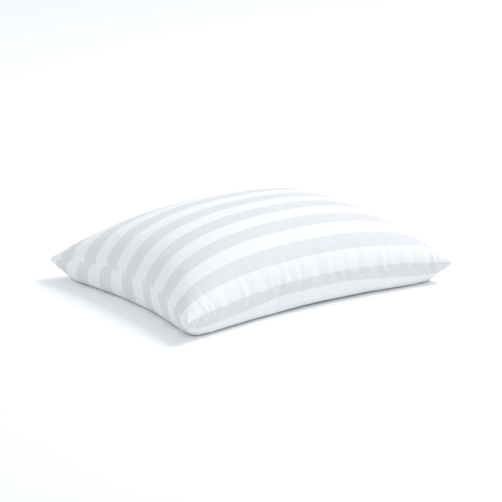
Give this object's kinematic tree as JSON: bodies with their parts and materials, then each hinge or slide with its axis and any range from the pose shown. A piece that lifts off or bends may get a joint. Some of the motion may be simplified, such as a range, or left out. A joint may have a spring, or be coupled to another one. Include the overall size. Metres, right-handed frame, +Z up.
{
  "type": "bed pillow",
  "caption": "Rectangular stuffed bed pillow with plain knife-edge seams, drawn-in sides, pointed corners and a tone-on-tone striped woven cover, lying flat",
  "frame": {"origin": "on the resting surface, under the middle of the pillow, at the centre of the bottom of its box", "axes": "+X along the long sides and the stripes, with the filling opening and the care label on the +X short side; +Y along the short sides; +Z up, through the crown"},
  "size_m": [0.632, 0.484, 0.165],
  "materials": {
    "cover_cloth": "white cotton with satin stripes in a plain ground, soft sheen",
    "fibre": "loose white polyester fibre, matte",
    "thread": "white spun polyester sewing thread, matte",
    "label_tape": "white woven satin tape, blank, slight sheen"
  },
  "bodies": {
    "root": {"top_cover_panel": "cover_cloth", "bottom_cover_panel": "cover_cloth", "fibre_fill": "fibre", "needle_thread": "thread", "bobbin_thread": "thread", "overlock_thread": "thread", "closing_stitches": "thread", "care_label": "label_tape"}
  },
  "joints": []
}
